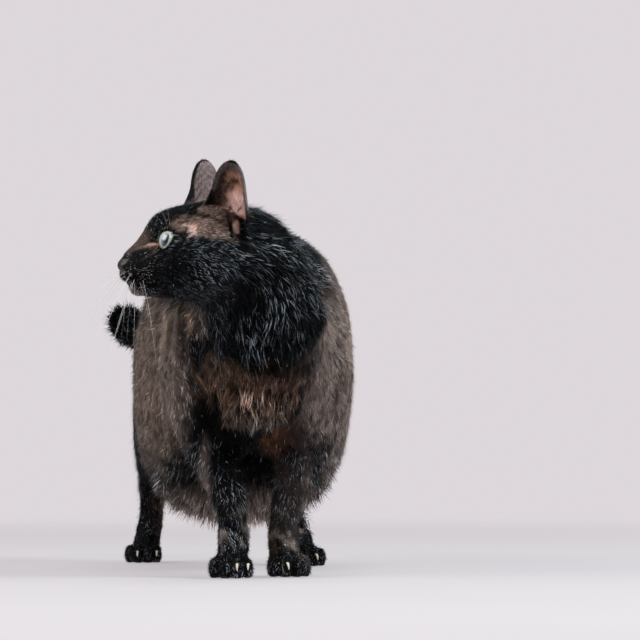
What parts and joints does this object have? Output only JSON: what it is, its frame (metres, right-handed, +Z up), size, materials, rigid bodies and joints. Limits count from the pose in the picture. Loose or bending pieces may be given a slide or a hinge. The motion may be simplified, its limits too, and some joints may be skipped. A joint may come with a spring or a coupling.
{
  "type": "cat model",
  "caption": "Life-size still model of a stout black short-haired cat, standing on its paws with its head turned to its right and its tail bent round to the same side.",
  "frame": {"origin": "on the floor, under the middle of the bounds", "axes": "-Y the way the breast faces, +X to the cat's left, +Z up"},
  "size_m": [0.2234, 0.5494, 0.3198],
  "materials": {
    "coat": "short glossy black fur with brown on the breast, belly and flanks",
    "ear_skin": "thin-haired pinkish brown skin inside, short grey-brown fur outside",
    "eye": "wet and clear, pale green iris with an upright pupil",
    "claw": "smooth off-white horn",
    "whisker": "thin tapered white bristle"
  },
  "bodies": {
    "root": {"head": "coat", "neck": "coat", "trunk": "coat", "tail_base": "coat", "tail_tip": "coat", "foreleg_left": "coat", "foreleg_right": "coat", "forepaw_left": "coat", "forepaw_right": "coat", "hindleg_left": "coat", "hindleg_right": "coat", "hindpaw_left": "coat", "hindpaw_right": "coat", "ear_left": "ear_skin", "ear_right": "ear_skin", "eye_left": "eye", "eye_right": "eye", "claw_forepaw_left_1": "claw", "claw_forepaw_left_2": "claw", "claw_forepaw_left_3": "claw", "claw_forepaw_left_4": "claw", "claw_forepaw_right_1": "claw", "claw_forepaw_right_2": "claw", "claw_forepaw_right_3": "claw", "claw_forepaw_right_4": "claw", "claw_hindpaw_left_1": "claw", "claw_hindpaw_left_2": "claw", "claw_hindpaw_left_3": "claw", "claw_hindpaw_left_4": "claw", "claw_hindpaw_right_1": "claw", "claw_hindpaw_right_2": "claw", "claw_hindpaw_right_3": "claw", "claw_hindpaw_right_4": "claw", "whisker_left_1": "whisker", "whisker_left_2": "whisker", "whisker_left_3": "whisker", "whisker_left_4": "whisker", "whisker_right_1": "whisker", "whisker_right_2": "whisker", "whisker_right_3": "whisker", "whisker_right_4": "whisker"}
  },
  "joints": []
}
